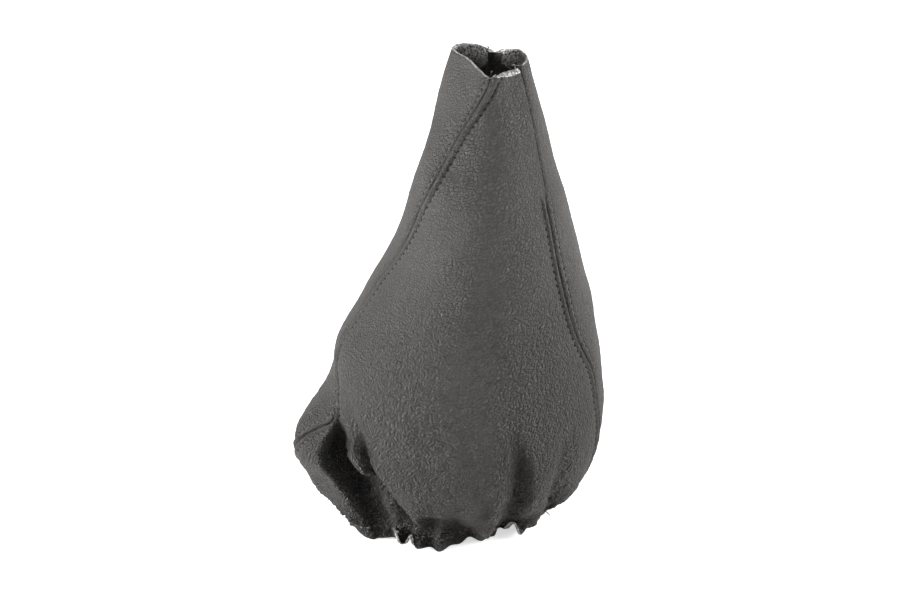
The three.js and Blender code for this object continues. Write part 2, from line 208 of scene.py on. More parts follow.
def gathers(angle, z):
    """Radial ripple of the gathers, calm beside the seams and on the lobe."""
    free = 1 - 0.8 * bell(wrap(angle - LOBE) / 22)
    for seam in SEAMS:
        free = free - bell(wrap(angle - seam(z)) / 15)
    uneven = angle + 9 * np.sin(2 * angle * RAD)
    return GATHER_DEPTH(z) * free * np.sin(GATHERS * uneven * RAD)


def hem_lift(angle):
    lift = 0.0
    for at, wide, high in LIFTS:
        q = np.minimum(np.abs(wrap(angle - at) / wide), 1)
        lift = lift + high * (1 - q * q) ** 2
    return lift


def hem_flare(angle, z):
    """How far the cut edge flares to the front, and how far it rises with that."""
    out, rise = 0.0, 0.0
    for at, wide, far in FLARES:
        turned = bell(wrap(angle - at) / wide) * np.maximum(1 - z / FLARE_HIGH, 0)
        out = out + far * turned
        rise = rise + FLARE_RISE * turned
    return out, rise


def hem_curl(angle, z):
    curl = 0.0
    for at, wide, far in CURLS:
        curl = curl + far * bell(wrap(angle - at) / wide)
    return curl * np.maximum(1 - z / CURL_HIGH, 0) ** 1.5


def surface(angle, z):
    """Outer surface of the leather at an azimuth (degrees) and height (mm)."""
    angle, z = np.broadcast_arrays(np.asarray(angle, float), np.asarray(z, float))
    left, right, front, back = LEFT(z), RIGHT(z), FRONT(z), BACK(z)
    top = smooth(NECK_FROM, HEIGHT, z)
    a, b, n = (right - left) / 2, (back - front) / 2, SQUARENESS(z)
    s, c = np.sin(angle * RAD), np.cos(angle * RAD)
    r = (np.abs(s / a) ** n + np.abs(c / b) ** n) ** (-1 / n)
    r = r + top * (RIM(angle) * 0.97 * (a / NECK_HALF_WIDTH) - r)
    r = r + RIM_TIP(z) * bell(wrap(angle - SEAM_LEFT(z)) / 24)
    r = r + gathers(angle, z)
    x = (left + right) / 2 + top * 1.2 + r * s
    y = (front + back) / 2 - top - r * c
    for f in FOLDS:
        q = wrap(angle - f["centre"](z))
        w = np.where(q < 0, f["left"](z), f["right"](z))
        k = f["depth"](z) * np.exp(-np.abs(q / w) ** np.where(q < 0, f["flat"][0], f["flat"][1]))
        x = x + k * f["push"][0]
        y = y + k * f["push"][1]
    out, rise = hem_flare(angle, z)
    y = y - out
    lift = (hem_lift(angle) + rise) * (1 - smooth(0, LIFT_HIGH, z))
    z = z + lift - RIM_DIP(angle) * smooth(DIP_FROM, HEIGHT, z)
    torn = 0.2 * np.sin(angle * 0.9) * np.sin(angle * 0.37 + 1) + 0.1 * np.sin(angle * 2.3 + 2)
    z = z - torn * smooth(HEIGHT - TORN_HIGH, HEIGHT, z)
    curl = hem_curl(angle, z)
    return np.stack([x + curl * s, y - curl * c, z + 0.25 * curl], -1)


def unit(v):
    return v / np.maximum(np.linalg.norm(v, axis=-1, keepdims=True), 1e-9)


def normal(angle, z):
    """Outward direction of the surface, level at the hem's and the rim's cut edges."""
    row = surface(angle + 0.4, z) - surface(angle - 0.4, z)
    up = surface(angle, np.minimum(z + 0.4, HEIGHT)) - surface(angle, np.maximum(z - 0.4, 0))
    n = unit(np.cross(row, up))
    flat = n * np.array([1, 1, 0])
    flat = flat / np.maximum((flat ** 2).sum(-1, keepdims=True), 0.3)
    end = smooth(3, 0, z) + smooth(HEIGHT - 3, HEIGHT, z)
    return n + (flat - n) * end[..., None]


def under(angle, z, depth):
    """The point at a depth under the outer surface."""
    angle, z, depth = np.broadcast_arrays(*(np.asarray(q, float) for q in (angle, z, depth)))
    return surface(angle, z) - normal(angle, z) * depth[..., None]


def beside(seam, z, distance):
    """Azimuth of the place at a distance (mm) from a seam, square to it."""
    z = np.asarray(z, float)
    low, high = np.maximum(z - 2, 0), np.minimum(z + 2, HEIGHT)
    path = unit(surface(seam(high), high) - surface(seam(low), low))
    row = (surface(seam(z) + 0.4, z) - surface(seam(z) - 0.4, z)) / 0.8
    speed = np.linalg.norm(row, axis=-1)
    sine = np.linalg.norm(np.cross(row / speed[..., None], path), axis=-1)
    return seam(z) + distance / np.maximum(sine, 0.4) / speed


# fine relief on top of that surface, in mm outward
def ripple(p, seed, shortest, longest, count=12):
    """A smooth uneven field of about unit height in space; wave lengths in mm."""
    rng = np.random.RandomState(seed)
    total = 0.0
    for _ in range(count):
        d = rng.normal(size=3)
        d = d / np.linalg.norm(d) * 2 * math.pi / (shortest + (longest - shortest) * rng.rand())
        total = total + np.sin(p @ d + rng.rand() * 6.3)
    return total / math.sqrt(count)


def folded(angle, z):
    """How much the leather is squeezed into folds here, 0 to 1."""
    total = 0.0
    for f, full in SQUEEZED:
        q = wrap(angle - f["centre"](z))
        w = 1.25 * np.where(q < 0, f["left"](z), f["right"](z))
        total = total + np.clip(f["depth"](z) / full, 0, 1) * bell(q / w)
    return np.clip(total + 0.8 * smooth(20, 4, z), 0, 1)


def relief(p, angle, z):
    """Broad unevenness, and wrinkles where the leather is squeezed or slack."""
    calm = 0.3 * ripple(p, 3, 18, 45) * smooth(0, 30, z)
    squeeze = folded(angle, z)
    low = smooth(95, 40, z)
    wrinkle = ripple(p * np.array([1, 1, 0.5]), 11, 3.4, 7.0, 16)
    wrinkle = np.abs(wrinkle) * 1.3 - 0.9
    small = ripple(p * np.array([1, 1, 0.7]), 23, 2.2, 3.6, 16)
    fade = smooth(0, 5, z) * smooth(HEIGHT, HEIGHT - 6, z)
    return calm + fade * ((0.05 + 0.12 * low + 0.72 * squeeze) * wrinkle + (0.05 + 0.14 * squeeze) * small)


def seam_relief(d, z, which):
    """The doubled leather puffs up between the seam and its stitches, which pull it in."""
    d, z = np.broadcast_arrays(np.asarray(d, float), np.asarray(z, float))
    puff = 0.75 * bell((d - 1.8) / 1.0)
    pull = 0.5 * bell((d - STITCH_LINE) / 0.6) + 0.2 * bell((d - STITCH_LINE) / 1.6)
    sewn = puff - pull
    if which == "right":
        sewn = sewn * (1 - smooth(TOPSTITCH_TOP_RIGHT - 3, TOPSTITCH_TOP_RIGHT + 5, z))
    return sewn


# where one panel rolls over its neighbour at a seam, by seam and side of it:
# from which height, fully at which height, how far up and across, and over what width
ROLLS = {("right", -1): (TOPSTITCH_TOP_RIGHT - 6, TOPSTITCH_TOP_RIGHT + 10, 0.9, 1.2, 4.5),
         ("right", 1): (TOPSTITCH_TOP_RIGHT - 6, TOPSTITCH_TOP_RIGHT + 10, -3.6, 0, 2.0),
         ("left", 1): (150, 205, 0.7, 0.9, 3.4),
         ("left", -1): (150, 205, -1.2, 0, 1.6)}
NO_ROLL = (0, 1, 0, 0, 1)


def roll(d, z, which, sign):
    """How far the edge of a panel is raised, and how far it reaches over the seam."""
    low, high, rise, reach, wide = ROLLS.get((which, sign), NO_ROLL)
    t = smooth(low, high, z)
    return rise * t * bell(d / wide), reach * t * np.exp(-d / 3)


# mesh helpers
def make_mesh(name, verts, faces, mats=None, materials=(), smooth_faces=True):
    """A mesh object from points in mm and four-sided faces."""
    me = bpy.data.meshes.new(name)
    v = (np.asarray(verts, float).reshape(-1, 3) - MIDDLE_OF_FOOTPRINT) * MM
    f = np.asarray(faces, int)
    me.vertices.add(len(v))
    me.vertices.foreach_set("co", v.astype(np.float32).ravel())
    me.loops.add(f.size)
    me.loops.foreach_set("vertex_index", f.ravel().astype(np.int32))
    me.polygons.add(len(f))
    me.polygons.foreach_set("loop_start", np.arange(0, f.size, f.shape[1], dtype=np.int32))
    for m in materials:
        me.materials.append(m)
    if mats is not None:
        me.polygons.foreach_set("material_index", np.asarray(mats, np.int32))
    me.polygons.foreach_set("use_smooth", np.full(len(f), smooth_faces))
    me.update(calc_edges=True)
    me.validate()
    ob = bpy.data.objects.new(name, me)
    bpy.context.scene.collection.objects.link(ob)
    return ob


def quads(a, b, c, d):
    return np.stack([a.ravel(), b.ravel(), c.ravel(), d.ravel()], -1)


def thick_sheet(name, outer, inner, sewn, materials):
    """Closed sheet from two grids of points: leather outside, suede inside, raw at the cut edges."""
    rows, cols = outer.shape[:2]
    ids = np.arange(rows * cols).reshape(rows, cols)
    inn = ids + rows * cols
    out_q = quads(ids[:-1, :-1], ids[:-1, 1:], ids[1:, 1:], ids[1:, :-1])
    in_q = quads(inn[:-1, :-1], inn[1:, :-1], inn[1:, 1:], inn[:-1, 1:])
    cut_q = np.concatenate([quads(ids[0, :-1], inn[0, :-1], inn[0, 1:], ids[0, 1:]),
                            quads(ids[-1, :-1], ids[-1, 1:], inn[-1, 1:], inn[-1, :-1]),
                            quads(ids[:-1, 0], ids[1:, 0], inn[1:, 0], inn[:-1, 0]),
                            quads(ids[:-1, -1], inn[:-1, -1], inn[1:, -1], ids[1:, -1])])
    faces = np.concatenate([out_q, in_q, cut_q])
    mats = np.concatenate([np.zeros(len(out_q)), np.ones(len(in_q)), np.full(len(cut_q), 2)])
    verts = np.concatenate([outer.reshape(-1, 3), inner.reshape(-1, 3)])
    ob = make_mesh(name, verts, faces, mats, materials)
    # distance from the seam, way along the stitches and squeeze, which the leather's material reads
    seam_at = ob.data.attributes.new("seam_at", "FLOAT_VECTOR", "POINT")
    seam_at.data.foreach_set("vector", np.concatenate([sewn.reshape(-1, 3)] * 2).astype(np.float32).ravel())
    return ob


# panels
BEND = LEATHER + GAP / 2
MIDDLE = GAP / 2 + BEND
# places across the seam allowance, which is folded back inside, and across the topstitched strip
FLAP = (ALLOWANCE, 5.4, 3.9, 2.6)
STRIP = (MIDDLE, 2.0, 2.4, 2.8, 3.1, 3.35, 3.6, 3.9, 4.3, 4.9, 5.6, 6.3, ALLOWANCE)
BEND_ANGLES = (155, 130, 105, 80, 55, 30)
# height over which the allowance is trimmed on a slant below the rim
TRIM_FROM = HEIGHT - 14
TRIM_TO = HEIGHT - 5
# mark of a place without a seam beside it
NO_SEAM = 99.0


def row_heights():
    """Heights of a panel's rows: closest at the hem and the rim."""
    steps = [(9, 0.75), (62, 1.0), (HEIGHT - 6, 1.35), (HEIGHT, 0.75)]
    z = [0.0]
    for until, step in steps:
        n = int(round((until - z[-1]) / step))
        z += list(np.linspace(z[-1], until, n + 1)[1:])
    return np.array(z)


def edge_stations():
    """Rows of outer distance and depth, inner distance and depth, and relief weight, from the cut end."""
    stations = [[d, 2 * LEATHER + GAP, d, LEATHER + GAP, 0] for d in FLAP + (MIDDLE,)]
    for a in BEND_ANGLES:
        s, c = math.sin(a * RAD), math.cos(a * RAD)
        stations.append([MIDDLE - BEND * s, BEND - BEND * c, MIDDLE - GAP / 2 * s, BEND - GAP / 2 * c,
                         max(c, 0)])
    stations += [[d, 0, d, LEATHER, 1] for d in STRIP]
    return np.array(stations)


EDGE = edge_stations()


def free_columns(seam_a, seam_b, turns, count, z):
    """Azimuths of evenly spaced columns between the topstitched strips of two seams."""
    start = beside(seam_a, z, ALLOWANCE)
    stop = beside(seam_b, z, -ALLOWANCE) + turns
    t = np.linspace(0, 1, 401)
    angles = start[:, None] + (stop - start)[:, None] * t
    steps = np.linalg.norm(np.diff(surface(angles, z[:, None]), axis=1), axis=-1)
    length = np.concatenate([np.zeros((len(z), 1)), np.cumsum(steps, 1)], 1)
    out = np.empty((len(z), count - 1))
    for k in range(len(z)):
        wanted = np.linspace(0, length[k, -1], count + 1)[1:-1]
        out[k] = np.interp(wanted, length[k], angles[k])
    return out


def way_along(p):
    """Length from the first point to each point of a line."""
    return np.concatenate([[0], np.cumsum(np.linalg.norm(np.diff(p, axis=0), axis=-1))])


def seam_line(seam, distance):
    """Heights along a line beside a seam, and the way along it."""
    z = np.linspace(GATHER_LINE, HEIGHT, 1500)
    return z, way_along(surface(beside(seam, z, distance), z))


def painted_gap_shadow(mark, d, zz, which, sign):
    """Paints the shadow in the gap beside a rolled edge: the mark is taken for a place closer to the seam,
    so that the groove's painted shade covers the gap.
    """
    from_height = ROLLS.get((which, sign), NO_ROLL)[0]
    if (which, sign) == ("left", -1):
        return np.where((zz > from_height) & (d < 3.2), 0.35 * d, mark)
    if (which, sign) == ("right", 1):
        return np.where((zz > from_height + 6) & (d < 4), 0.28 * d, mark)
    if which != "back":
        return np.where((zz > from_height + 6) & (d < 1.8), 0.5 * d, mark)
    return mark


def panel_side(z, which, seam, top, sign):
    """Outer points, inner points and marks of the strip along one seam of a panel."""
    zz = z[:, None]
    d_out, n_out, d_in, n_in, weight = EDGE.T
    trim = np.where(np.arange(len(d_out)) < len(FLAP), 0.95 * smooth(TRIM_FROM, TRIM_TO, zz), 0)
    d_out = d_out + (MIDDLE - d_out) * trim
    d_in = d_in + (MIDDLE - d_in) * trim
    up_o, over_o = roll(d_out, zz, which, sign)
    up_i, over_i = roll(d_in, zz, which, sign)
    angles_o = np.stack([beside(seam, z, sign * d) for d in (d_out - over_o).T], 1)
    angles_i = np.stack([beside(seam, z, sign * d) for d in (d_in - over_i).T], 1)
    r_o = relief(surface(angles_o, zz), angles_o, zz)
    r_i = relief(surface(angles_i, zz), angles_i, zz)
    puff = seam_relief(d_out, zz, which)
    flat = smooth(0, 1, weight)
    outer = under(angles_o, zz, n_out - up_o - puff * weight - r_o * flat)
    inner = under(angles_i, zz, n_in - up_i - (r_i + np.minimum(puff, 0)) * flat)
    line_z, line_way = seam_line(seam, sign * STITCH_LINE)
    way = np.interp(z, line_z, line_way)
    used = np.where((zz < top) | (d_out < 1.2), d_out, NO_SEAM)
    used = painted_gap_shadow(used, d_out, zz, which, sign)
    mark = np.stack([used, np.repeat(way[:, None], len(weight), 1), folded(angles_o, zz)], -1)
    return outer, inner, mark


def panel(name, seams, turns, count, materials):
    """One leather panel between two seams, with its allowances folded back."""
    z = row_heights()
    zz = z[:, None]
    (oa, ia, ma), (ob_, ib, mb) = (panel_side(z, *seam, sign) for seam, sign in zip(seams, (1, -1)))
    free = free_columns(seams[0][1], seams[1][1], turns, count, z)
    r = relief(surface(free, zz), free, zz)
    free_mark = np.stack([np.full(free.shape, NO_SEAM), np.zeros(free.shape), folded(free, zz)], -1)
    outer = np.concatenate([oa, under(free, zz, -r), ob_[:, ::-1]], 1)
    if name == "leather_front_panel":
        # the top edge of this panel is cut on a slant and torn, so that its flesh side shows
        across = np.arctan2(outer[..., 0] - outer[-1, :, 0].mean(), -outer[..., 1]) / RAD
        outer[..., 2] -= SKIVE(across) * smooth(HEIGHT - TORN_HIGH, HEIGHT, zz)
    inner = np.concatenate([ia, under(free, zz, LEATHER - r), ib[:, ::-1]], 1)
    sewn = np.concatenate([ma, free_mark, mb[:, ::-1]], 1)
    return thick_sheet(name, outer, inner, sewn, materials)


# material helpers
def new_material(name):
    """A material with one shader linked to its output: the material, its node tree and the shader."""
    m = bpy.data.materials.new(name)
    m.use_nodes = True
    nt = m.node_tree
    nt.nodes.clear()
    out = nt.nodes.new("ShaderNodeOutputMaterial")
    bsdf = nt.nodes.new("ShaderNodeBsdfPrincipled")
    nt.links.new(bsdf.outputs[0], out.inputs[0])
    return m, nt, bsdf


def node(nt, kind, **values):
    """A new node, with attributes or input values set by name."""
    n = nt.nodes.new(kind)
    for k, v in values.items():
        if hasattr(n, k):
            setattr(n, k, v)
        else:
            n.inputs[k.replace("_", " ")].default_value = v
    return n


def texture(nt, kind, at, **values):
    """A texture node that reads the given coordinates."""
    n = node(nt, kind, **values)
    nt.links.new(at, n.inputs["Vector"])
    return n


def math_node(nt, op, a, b=None):
    n = nt.nodes.new("ShaderNodeMath")
    n.operation = op
    for k, v in enumerate((a, b)):
        if v is None:
            continue
        if isinstance(v, (int, float)):
            n.inputs[k].default_value = v
        else:
            nt.links.new(v, n.inputs[k])
    return n.outputs[0]


def ramp(nt, value, a, b, lo=0.0, hi=1.0):
    """lo where the value is a, hi where it is b, and held beyond them."""
    n = nt.nodes.new("ShaderNodeMapRange")
    nt.links.new(value, n.inputs[0])
    for k, v in zip((1, 2, 3, 4), (a, b, lo, hi)):
        n.inputs[k].default_value = v
    return n.outputs[0]


def mix_colour(nt, fac, a, b):
    n = nt.nodes.new("ShaderNodeMix")
    n.data_type = "RGBA"
    nt.links.new(fac, n.inputs[0])
    for k, v in ((6, a), (7, b)):
        if isinstance(v, tuple):
            n.inputs[k].default_value = (*v, 1)
        else:
            nt.links.new(v, n.inputs[k])
    return n.outputs[2]


def mix_value(nt, fac, a, b):
    n = nt.nodes.new("ShaderNodeMix")
    for k, v in ((0, fac), (2, a), (3, b)):
        nt.links.new(v, n.inputs[k])
    return n.outputs[0]


def bump(nt, bsdf, height, distance, strength=1.0):
    n = node(nt, "ShaderNodeBump", Strength=strength, Distance=distance)
    nt.links.new(height, n.inputs["Height"])
    nt.links.new(n.outputs[0], bsdf.inputs["Normal"])


def in_millimetres(nt, stretch=(1, 1, 1), turn=(0, 0, 0), warp=0.0, warp_scale=0.3):
    """Object coordinates in mm, turned, then stretched, then warped by a noise."""
    tc = nt.nodes.new("ShaderNodeTexCoord")
    mp = nt.nodes.new("ShaderNodeMapping")
    mp.inputs["Rotation"].default_value = turn
    mp.vector_type = "TEXTURE"
    mp.inputs["Scale"].default_value = tuple(0.001 / s for s in stretch)
    nt.links.new(tc.outputs["Object"], mp.inputs[0])
    out = mp.outputs[0]
    if warp:
        nz = texture(nt, "ShaderNodeTexNoise", out, Scale=warp_scale, Detail=2.0)
        shift = nt.nodes.new("ShaderNodeVectorMath")
        shift.operation = "MULTIPLY_ADD"
        nt.links.new(nz.outputs["Color"], shift.inputs[0])
        shift.inputs[1].default_value = (warp, warp, warp)
        nt.links.new(out, shift.inputs[2])
        out = shift.outputs[0]
    return out


def cells(nt, at, scale):
    """Distance to the edge of the nearest cell."""
    return texture(nt, "ShaderNodeTexVoronoi", at, feature="DISTANCE_TO_EDGE", Scale=scale).outputs[0]


def separate(nt, vector):
    n = nt.nodes.new("ShaderNodeSeparateXYZ")
    nt.links.new(vector, n.inputs[0])
    return n.outputs


# materials
# painted shade in the creases of the grain and of the wrinkles
PAINTED_CREASE_SHADE = (0.005, 0.0043, 0.0038)
# the leather's colour, which the tops of the grain reach fully as a painted highlight
CREST = (0.044, 0.0375, 0.0325)
WORN = (0.034, 0.0292, 0.0255)
# painted shade in the groove of a seam
PAINTED_GROOVE_SHADE = (0.004, 0.0035, 0.0031)
PRESSED = (0.014, 0.0126, 0.0117)
# painted shade in the needle holes
PAINTED_HOLE_SHADE = (0.002, 0.0018, 0.0017)


def grain(nt, turn, warp):
    """Drawn pebble grain: two sizes of cells, longer one way; returns the fine and the big ones."""
    at = in_millimetres(nt, stretch=(1.45, 1.0, 0.58), turn=(0, turn, 0), warp=warp, warp_scale=0.16)
    return ramp(nt, cells(nt, at, 1.15), 0.0, 0.30), ramp(nt, cells(nt, at, 0.60), 0.02, 0.24)


def drawn_grain(nt, at, across):
    """Grain that leans one way on the left and the other way on the right."""
    sway = texture(nt, "ShaderNodeTexNoise", at, Scale=0.025, Detail=1.0)
    swing = ramp(nt, sway.outputs[0], 0.3, 0.7, -30, 30)
    side = ramp(nt, math_node(nt, "ADD", across, swing), -12, 12)
    fine_l, big_l = grain(nt, -0.85, 2.4)
    fine_r, big_r = grain(nt, 0.95, 2.8)
    return mix_value(nt, side, fine_l, fine_r), mix_value(nt, side, big_l, big_r)


def near_seam_colour(nt, base, distance, way):
    """Painted shade in the groove of the seam and in the needle holes, and the darker pressed stitch line.
    """
    off = math_node(nt, "ABSOLUTE", math_node(nt, "SUBTRACT", distance, STITCH_LINE))
    turn = math_node(nt, "FRACT", math_node(nt, "DIVIDE", way, PITCH))
    along = math_node(nt, "ABSOLUTE", math_node(nt, "SUBTRACT", turn, 0.5))
    along = math_node(nt, "MULTIPLY", along, PITCH)
    squares = math_node(nt, "ADD", math_node(nt, "MULTIPLY", off, off),
                        math_node(nt, "MULTIPLY", along, along))
    # painted shade of the needle holes along the stitch line
    hole = ramp(nt, math_node(nt, "SQRT", squares), 0.45, 0.85, 1.0, 0.0)
    # painted shade in the groove of the seam, and in the gap beside a rolled edge
    base = mix_colour(nt, ramp(nt, distance, 0.1, 1.1, 0.9, 0.0), base, PAINTED_GROOVE_SHADE)
    base = mix_colour(nt, ramp(nt, off, 0.2, 0.9, 0.55, 0.0), base, PRESSED)
    return mix_colour(nt, hole, base, PAINTED_HOLE_SHADE), hole


def leather():
    m, nt, b = new_material("grained_leather")
    at = in_millimetres(nt)
    place = separate(nt, at)
    at_seam = nt.nodes.new("ShaderNodeAttribute")
    at_seam.attribute_name = "seam_at"
    distance, way, folds = separate(nt, at_seam.outputs["Vector"])
    # squeezed leather wrinkles coarsely, and so does the slack leather low down, a little
    slack = ramp(nt, place[2], 45, 140, 0.55, 0.0)
    slack = math_node(nt, "MULTIPLY", slack, ramp(nt, distance, 4, 8, 0.0, 1.0))
    squeezed = math_node(nt, "MAXIMUM", folds, slack)
    fine, big = drawn_grain(nt, at, place[0])
    dust = texture(nt, "ShaderNodeTexNoise", at, Scale=1.3, Detail=3.0, Roughness=0.6)
    broad = texture(nt, "ShaderNodeTexNoise", at, Scale=0.03, Detail=3.0)
    crush = in_millimetres(nt, stretch=(1.2, 1.0, 0.8), turn=(0, 0.9, 0), warp=3.0, warp_scale=0.2)
    wrinkle = ramp(nt, cells(nt, crush, 0.46), 0.0, 0.3)
    # height of the relief
    pebbles = math_node(nt, "ADD", math_node(nt, "MULTIPLY", fine, 0.5),
                        math_node(nt, "MULTIPLY", big, ramp(nt, squeezed, 0.0, 1.0, 0.8, 1.9)))
    height = math_node(nt, "MULTIPLY", pebbles, ramp(nt, place[2], 50, 150, 1.9, 0.7))
    height = math_node(nt, "ADD", height, math_node(nt, "MULTIPLY", dust.outputs[0], 0.5))
    coarse = math_node(nt, "MULTIPLY", math_node(nt, "MULTIPLY", wrinkle, squeezed), 7.0)
    bump(nt, b, math_node(nt, "ADD", height, coarse), 0.0008)
    # colour: dark in the creases as painted shade, lighter on the crests as a painted highlight
    raised = mix_value(nt, squeezed, big, ramp(nt, wrinkle, 0.0, 0.7, 0.0, 1.0))
    crease_shade = math_node(nt, "MULTIPLY", ramp(nt, raised, 0.0, 1.0, 1.0, 0.0),
                       ramp(nt, squeezed, 0.0, 1.0, 0.8, 1.0))
    crest_highlight = math_node(nt, "MULTIPLY", ramp(nt, fine, 0.0, 0.8, 0.45, 1.0),
                      ramp(nt, crease_shade, 0.0, 1.0, 1.0, 0.0))
    base = mix_colour(nt, crest_highlight, PAINTED_CREASE_SHADE, CREST)
    base = mix_colour(nt, ramp(nt, broad.outputs[0], 0.35, 0.65, 0.0, 0.25), base, WORN)
    base, hole = near_seam_colour(nt, base, distance, way)
    nt.links.new(base, b.inputs["Base Color"])
    rough = ramp(nt, crest_highlight, 0.0, 1.0, 0.66, 0.54)
    nt.links.new(math_node(nt, "MAXIMUM", rough, hole), b.inputs["Roughness"])
    b.inputs["Specular IOR Level"].default_value = 0.5
    return m


def fibres(name, dark, light, lit_rim_dark, lit_rim_light):
    """Fibrous flesh side of leather, with painted light in a band towards the rim."""
    m, nt, b = new_material(name)
    at = in_millimetres(nt, warp=0.5, warp_scale=1.2)
    fuzz = texture(nt, "ShaderNodeTexNoise", at, Scale=1.1, Detail=4.0, Roughness=0.65)
    speckle = ramp(nt, fuzz.outputs[0], 0.42, 0.58)
    # painted light: a lighter band towards the rim, where the lamps reach the inside
    rim = ramp(nt, separate(nt, at)[2], HEIGHT - 10, HEIGHT)
    deep = mix_colour(nt, speckle, dark, light)
    edge = mix_colour(nt, speckle, lit_rim_dark, lit_rim_light)
    nt.links.new(mix_colour(nt, rim, deep, edge), b.inputs["Base Color"])
    bump(nt, b, fuzz.outputs[0], 0.0006)
    b.inputs["Roughness"].default_value = 0.95
    b.inputs["Specular IOR Level"].default_value = 0.15
    b.inputs["Sheen Weight"].default_value = 0.3
    return m


def thread():
    m, nt, b = new_material("sewing_thread")
    twist = texture(nt, "ShaderNodeTexWave", in_millimetres(nt), Scale=1.4, Distortion=1.5)
    colour = mix_colour(nt, twist.outputs["Fac"], (0.008, 0.0078, 0.0076), (0.036, 0.0345, 0.0335))
    nt.links.new(colour, b.inputs["Base Color"])
    bump(nt, b, twist.outputs["Fac"], 0.0001, 0.6)
    b.inputs["Roughness"].default_value = 0.6
    b.inputs["Sheen Weight"].default_value = 0.2
    return m


def elastic():
    m, nt, b = new_material("woven_elastic")
    rib = texture(nt, "ShaderNodeTexWave", in_millimetres(nt), Scale=0.35, Distortion=0.4)
    rib.bands_direction = "Z"
    colour = mix_colour(nt, rib.outputs["Fac"], (0.012, 0.012, 0.012), (0.04, 0.04, 0.04))
    nt.links.new(colour, b.inputs["Base Color"])
    bump(nt, b, rib.outputs["Fac"], 0.0003, 0.8)
    b.inputs["Roughness"].default_value = 0.85
    return m


# the suede and the raw edge take their last two colours near the rim as painted light
SKIN = [leather(),
        fibres("suede_flesh_side", (0.006, 0.006, 0.006), (0.10, 0.097, 0.094),
               (0.04, 0.04, 0.04), (0.95, 0.93, 0.91)),
        fibres("raw_cut_edge", (0.07, 0.07, 0.07), (0.42, 0.41, 0.40),
               (0.10, 0.10, 0.10), (0.55, 0.54, 0.53))]
THREAD_MAT = thread()
ELASTIC_MAT = elastic()

# the leather panels
# which seam, its azimuths, and up to where it is topstitched
SEWN = {"left": ("left", SEAM_LEFT, HEIGHT),
        "right": ("right", SEAM_RIGHT, TOPSTITCH_TOP_RIGHT),
        "back": ("back", SEAM_BACK, HEIGHT)}
# panel, seam where it starts, seam where it ends, turn between them, columns
PANELS = [("front_panel", "left", "right", 0, 170),
          ("right_panel", "right", "back", 0, 110),
          ("left_panel", "back", "left", 360, 100)]


def sew_panels():
    for name, start, stop, turn, columns in PANELS:
        ob = panel("leather_" + name, (SEWN[start], SEWN[stop]), turn, columns, SKIN)
        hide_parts(name)
        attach(ob, "root")


sew_panels()


# stitches
def dress(name, material):
    """Gives a CAD node its material."""
    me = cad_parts[name].data
    me.materials.clear()
    me.materials.append(material)


def strand(centre, out, radius, sides=8):
    """Points and faces of a closed thread with thin ends along a line of centres."""
    n = len(centre)
    along = unit(np.gradient(centre, axis=0))
    side = unit(np.cross(along, out))
    up = np.cross(side, along)
    t = np.clip(np.linspace(0, 1, n), 0.04, 0.96)
    r = radius * (0.3 + 0.7 * np.sin(math.pi * t) ** 0.45)
    ang = np.arange(sides) * 2 * math.pi / sides
    ring = np.cos(ang)[None, :, None] * side[:, None] + np.sin(ang)[None, :, None] * up[:, None]
    verts = (centre[:, None] + r[:, None, None] * ring).reshape(-1, 3)
    faces = []
    for i in range(n - 1):
        for j in range(sides):
            m = (j + 1) % sides
            faces.append([i * sides + j, i * sides + m, (i + 1) * sides + m, (i + 1) * sides + j])
    for first, turned in ((0, True), ((n - 1) * sides, False)):
        for j in range(1, sides - 1, 2):
            cap = [first, first + j, first + j + 1, first + (j + 2) % sides]
            faces.append(cap[::-1] if turned else cap)
    return verts, np.array(faces)


def joined(name, strands, node_name):
    """One mesh of many strands, which stands for a CAD thread."""
    verts, faces, base = [], [], 0
    for v, f in strands:
        verts.append(v)
        faces.append(f + base)
        base += len(v)
    ob = make_mesh(name, np.concatenate(verts), np.concatenate(faces), None, [THREAD_MAT])
    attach(ob, "root")
    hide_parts(node_name)


def stitches(place, way):
    """Single stitches along a line of a length: place(s) gives the points and the outward directions."""
    out = []
    t = np.linspace(0, 1, 7)
    first = PITCH / 2 + (PITCH - STITCH) / 2
    for start in np.arange(first, way - STITCH, PITCH):
        c, n = place(start + t * STITCH)
        sunk = 0.5 * np.sin(math.pi * t) ** 0.7 - 0.5
        out.append(strand(c + n * sunk[:, None], n, THREAD_RADIUS))
    return out


def stitch_line(which, sign):
    """The place function of a row of topstitching, and the length of the row."""
    _, seam, top = SEWN[which]
    zz, way = seam_line(seam, sign * STITCH_LINE)

    def place(s):
        z = np.interp(s, way, zz)
        a = beside(seam, z, sign * STITCH_LINE)
        p = surface(a, z)
        n = normal(a, z)
        return p + n * (relief(p, a, z) + seam_relief(STITCH_LINE, z, which))[:, None], n
    return place, np.interp(top - 1.5, zz, way)


def back_sewn(place, end):
    """The end of the row is sewn back over itself."""
    out = []
    for k in (0.5, 1.5, 2.5):
        c, n = place(end - k * PITCH + np.linspace(0, STITCH, 7))
        out.append(strand(c + n * 0.25, n, 0.33))
    return out


def loose_end(start, reach, sway, turns, out, radius):
    """A short loose thread end that leaves its start with a slight wave."""
    t = np.linspace(0, 1, 9)[:, None]
    line = start + np.array([reach]) * t + np.array([sway]) * np.sin(turns * t)
    return strand(line, np.array([out]) + 0 * t, radius)


def topstitches():
    rows = (("left", "front", "rear"), ("right", "rear", "front"), ("back", "left", "right"))
    for which, ahead, behind in rows:
        for word, sign in ((ahead, 1), (behind, -1)):
            place, end = stitch_line(which, sign)
            row = stitches(place, end)
            if which == "right":
                row += back_sewn(place, end)
            if which == "back" and sign > 0:
                # a thread end sticks up at the notch of the rim
                start = place(np.array([end]))[0]
                row.append(loose_end(start, [0.8, 0.3, 2.6], [0.9, 0, 0], 4, [0, 1, 0.2], 0.3))
            joined(f"stitches_{which}_{word}", row, f"{which}_topstitch_{word}")
        dress(f"{which}_seam_thread", THREAD_MAT)


